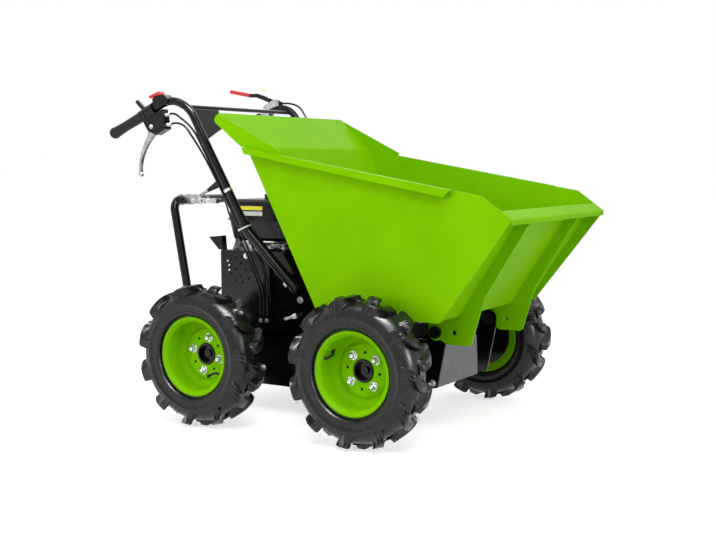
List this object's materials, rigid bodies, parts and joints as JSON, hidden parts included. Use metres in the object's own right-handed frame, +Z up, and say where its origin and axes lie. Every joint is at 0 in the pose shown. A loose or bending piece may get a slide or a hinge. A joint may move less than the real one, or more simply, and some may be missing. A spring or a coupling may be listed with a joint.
{
  "type": "walk-behind site dumper with front-tipping tub",
  "caption": "Small walk-behind power dumper: green steel tub that tips forward on a black chassis with lugged wheels, engine at the rear and a handlebar.",
  "frame": {"origin": "on the ground under the middle of the overall box", "axes": "+X forward to the tipping end, +Y to the left, +Z up"},
  "size_m": [1.379, 0.891, 1.0104],
  "materials": {
    "green_paint": "gloss powder coat",
    "tyre_rubber": "matte moulded rubber",
    "hub_steel": "zinc plated",
    "black_paint": "satin powder coat",
    "grey_plate": "satin grey",
    "cast_grey": "dark as-cast",
    "rest_rubber": "satin powder coat with rubber pads",
    "alloy": "as-cast",
    "black_plastic": "moulded",
    "muffler_steel": "heat-dulled",
    "zinc": "zinc plated",
    "polished_alloy": "polished",
    "grip_rubber": "moulded grip",
    "red_plastic": "moulded"
  },
  "bodies": {
    "chassis": {"air_cleaner": "black_plastic", "belly_plate": "black_paint", "belt_cover": "black_paint", "brake_lever": "polished_alloy", "carburettor": "alloy", "control_cables": "black_plastic", "crossbar": "black_paint", "deck": "black_paint", "drive_bracket": "zinc", "drive_grip": "red_plastic", "drive_lever": "black_plastic", "engine_block": "cast_grey", "engine_cylinder": "alloy", "front_axle": "black_paint", "front_plate": "grey_plate", "fuel_cap": "black_plastic", "fuel_tank": "black_plastic", "gear_knob": "black_plastic", "gear_lever": "zinc", "gearbox": "cast_grey", "grips": "grip_rubber", "handle_arms": "black_paint", "handle_panel": "black_paint", "handle_tubes": "black_paint", "lever_housing": "black_plastic", "muffler": "muffler_steel", "pivot_pins": "hub_steel", "rear_axle": "black_paint", "rear_guard": "black_paint", "rear_plate": "black_paint", "recoil_starter": "black_plastic", "release_paddle": "black_paint", "shift_gate": "zinc", "side_plates": "black_paint", "stop_button": "red_plastic", "stop_switch": "black_plastic", "tank_bracket": "zinc", "throttle_lever": "black_plastic", "tub_rest": "rest_rubber"},
    "tub": {"tub_pan": "green_paint", "tub_side_left": "green_paint", "tub_side_right": "green_paint", "rear_board": "green_paint", "hinge_ribs": "green_paint"},
    "wheel_front_left": {"tyre_front_left": "tyre_rubber", "rim_front_left": "green_paint", "hub_front_left": "black_paint"},
    "wheel_front_right": {"tyre_front_right": "tyre_rubber", "rim_front_right": "green_paint", "hub_front_right": "black_paint"},
    "wheel_rear_left": {"tyre_rear_left": "tyre_rubber", "rim_rear_left": "green_paint", "hub_rear_left": "black_paint"},
    "wheel_rear_right": {"tyre_rear_right": "tyre_rubber", "rim_rear_right": "green_paint", "hub_rear_right": "black_paint"}
  },
  "joints": [
    {"name": "wheel_front_left_spin", "type": "hinge", "parent": "chassis", "child": "wheel_front_left", "pos_m": [0.28549, 0.391, 0.206], "axis": [0, 1, 0], "continuous": true},
    {"name": "wheel_front_right_spin", "type": "hinge", "parent": "chassis", "child": "wheel_front_right", "pos_m": [0.28549, -0.391, 0.206], "axis": [0, 1, 0], "continuous": true},
    {"name": "wheel_rear_left_spin", "type": "hinge", "parent": "chassis", "child": "wheel_rear_left", "pos_m": [-0.24851, 0.391, 0.206], "axis": [0, 1, 0], "continuous": true},
    {"name": "wheel_rear_right_spin", "type": "hinge", "parent": "chassis", "child": "wheel_rear_right", "pos_m": [-0.24851, -0.391, 0.206], "axis": [0, 1, 0], "continuous": true},
    {"name": "tub_tip", "type": "hinge", "parent": "chassis", "child": "tub", "pos_m": [0.39749, 0, 0.293], "axis": [0, 1, 0], "range_deg": [0, 75]}
  ]
}
